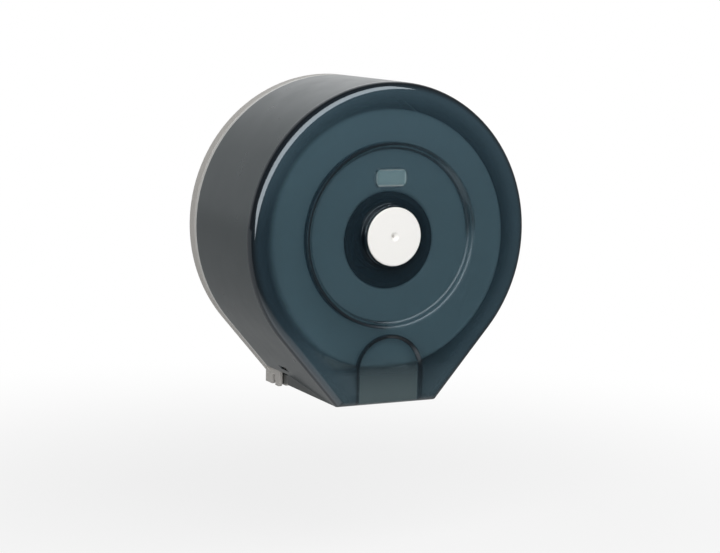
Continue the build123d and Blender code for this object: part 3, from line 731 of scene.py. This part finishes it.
materials = {slot: make() for slot, make in FINISHES.items()}
screws, roll, teeth = screw_pattern(), roll_pattern(), tooth_pattern()
screw_steel = materials["screw_steel"]
new_pieces = {
    "cover_shell": softened("cover_shell", "smoked_cover", STEP_EDGE, segments=5, edge_at=cover_edge),
    "spindle_screws": put(screws.made(
        "flange_screws", screw_steel,
        head_radius=0.0038, head_height=0.0024, shank_radius=0.002, length=0.012, pitch=0.0014,
        recess=0.0040, count=3, ring_radius=0.016, first_angle=math.pi / 2, seat_depth=0.018,
    ), "spindle_screws"),
    "housing_screws": put(screws.made(
        "lock_plate_screws", screw_steel,
        head_radius=0.0026, head_height=0.0018, shank_radius=0.0013, length=0.008, pitch=0.0010,
        recess=0.0030, count=3, ring_radius=0.0244, first_angle=-math.pi / 2, seat_depth=0.1322,
        facing=-1.0,
    ), "housing_screws"),
    "end_screw": put(screws.made(
        "spindle_end_screw", screw_steel,
        head_radius=0.0046, head_height=0.0028, shank_radius=0.002, length=0.016, pitch=0.0014,
        recess=0.0048, seat_depth=0.109,
    ), "end_screw"),
    "cam_screw": put(screws.made(
        "cam_fixing_screw", screw_steel,
        head_radius=0.0032, head_height=0.0020, shank_radius=0.0015, length=0.009, pitch=0.0010,
        recess=0.0036, seat_depth=0.1196, facing=-1.0,
    ), "cam_screw"),
    "paper_roll": put(roll.made(
        "wound_roll", materials["tissue"],
        inner=0.04275, outer=0.1155, rear=0.038, front=0.134, height=ROLL_Z, rim=0.0025,
    ), "paper_roll"),
    "tear_bar": put(teeth.made(
        "toothed_blade", materials["steel"], start=blade_mesh(),
        half=TEAR_HALF, pitch=0.0025, drop=TOOTH_DROP, thickness=BLADE_THICKNESS,
        depth=BLADE_DEPTH, tip=TOOTH_TIP,
    ), "tear_bar"),
}
for node, edge in SOFT_EDGES.items():
    new_pieces[node] = softened(node, f"finished_{node}", edge)

for slot, nodes in SLOTS.items():
    for node in nodes:
        dress(new_pieces.get(node, frame["nodes"][node]), materials[slot])


# --- Camera, light and floor ----------------------------------------------------------------
def direction(azimuth, elevation):
    """Towards a place round the object; azimuth 0 is in front of it."""
    a, e = math.radians(azimuth), math.radians(elevation)
    return Vector((math.sin(a) * math.cos(e), -math.cos(a) * math.cos(e), math.sin(e)))


def add_camera():
    """The camera at the photograph's viewing angle, tilted a little as it was."""
    azimuth, elevation, tilt = -26.54, 8.39, 1.19
    target, distance = Vector((0.00941, -0.060, -0.04755)), 1.83594
    back = direction(azimuth, elevation)
    level = Vector((0, 0, 1)).cross(back).normalized()
    upright = back.cross(level)
    turn = math.radians(tilt)
    right = math.cos(turn) * level + math.sin(turn) * upright
    up = math.cos(turn) * upright - math.sin(turn) * level
    data = bpy.data.cameras.new("camera")
    data.lens, data.sensor_width = 100, 36
    data.clip_start, data.clip_end = 0.05, 50
    camera = bpy.data.objects.new("camera", data)
    camera.matrix_world = Matrix.Translation(target + distance * back) @ Matrix(
        (right, up, back)
    ).transposed().to_4x4()
    bpy.context.scene.collection.objects.link(camera)
    bpy.context.scene.camera = camera


def add_lamp(name, azimuth, elevation, distance, width, height, power, along):
    """A soft lamp that faces the object, with its width along the given direction."""
    data = bpy.data.lights.new(name, "AREA")
    data.shape, data.size, data.size_y = "RECTANGLE", width, height
    data.energy = power
    lamp = bpy.data.objects.new(name, data)
    away = direction(azimuth, elevation)
    across = (Vector(along) - away * away.dot(Vector(along))).normalized()
    turned = Matrix((across, away.cross(across), away)).transposed().to_4x4()
    lamp.matrix_world = Matrix.Translation(away * distance) @ turned
    bpy.context.scene.collection.objects.link(lamp)


def add_world():
    """White to the camera. The gloss shows a backdrop behind the object, brighter to the right
    and dark past its right end, and a dimmer room before it."""
    room, lit = 0.10, 0.16  # what the gloss shows of the room, and what lights the object
    at_left, gain, fall = 0.55, 0.60, 0.85  # of the backdrop, from left to right
    world = bpy.data.worlds.new("studio")
    world.use_nodes = True
    bpy.context.scene.world = world
    made = Graph(world.node_tree)
    x, y, _ = made.parts(made.node("ShaderNodeTexCoord", out="Generated"))
    brightness = at_left + gain * made.step(x, -0.3, 0.4) - fall * made.step(x, 0.46, 0.62)
    backdrop = room + (brightness - room) * made.step(y, 0.35, 0.80)
    rays = ("Is Camera Ray", "Is Transmission Ray", "Is Glossy Ray")
    seen, through, mirrored = (made.node("ShaderNodeLightPath", out=name) for name in rays)
    level = lit + (backdrop - lit) * mirrored
    white = seen | through
    made.join(level + (1 - level) * white, made.tree.nodes["Background"].inputs["Strength"])
    made.join((1, 1, 1), made.tree.nodes["Background"].inputs["Color"])


def floor_finish():
    """White to the camera but for the shadow. To the gloss the floor glows instead of being lit: dark,
    lighter behind the object and close to its lower left."""
    before, behind_gain, close_gain = 0.08, 0.32, 0.6
    black, white = (0, 0, 0), (1, 1, 1)
    made = Finish("floor", Base_Color=(0.80, 0.80, 0.80), Roughness=0.9)
    rays = ("Is Camera Ray", "Is Glossy Ray", "Transparent Depth")
    seen, mirrored, past = (made.node("ShaderNodeLightPath", out=name) for name in rays)
    bare = 1 - made.step(past, 0.0, 1.0)
    x, y, _ = made.axes()
    away = made.radius(across=(1, 1, 0))
    behind = made.step(y, -0.30, -0.05) * (1 - 0.85 * made.step(x, 0.15, 0.5))
    # A glow close to the lower left, which the cover's lower flank reflects.
    close = (1 - made.step(away, 0.30, 0.60)) * made.step(y, -0.04, -0.14) * made.step(x, -0.02, -0.10)
    level = seen | (before + behind_gain * behind + close_gain * close)
    glow = made.node("ShaderNodeEmission", None, {"Color": made.blend(level, black, white)})
    share = seen * bare * (0.8 + 0.2 * made.step(away, 0.25, 0.9)) | mirrored
    made.show(made.node("ShaderNodeMixShader", None, [share, made.shaded(), glow]))
    return made.material


def add_floor():
    """A pale floor, clear of the open cover."""
    mesh = bpy.data.meshes.new("floor")
    build = bmesh.new()
    bmesh.ops.create_grid(build, x_segments=4, y_segments=4, size=FLOOR_HALF)
    bmesh.ops.translate(build, verts=build.verts, vec=(0, 0, FLOOR_Z))
    build.to_mesh(mesh)
    build.free()
    mesh.materials.append(floor_finish())
    floor = bpy.data.objects.new("floor", mesh)
    bpy.context.scene.collection.objects.link(floor)


add_camera()
add_lamp(
    "softbox", azimuth=-20, elevation=36, distance=1.5, width=3.3, height=1.0, power=34,
    along=(0.90, 0.33, 0.20),
)
add_world()
add_floor()
bpy.context.scene.view_settings.view_transform = "Standard"
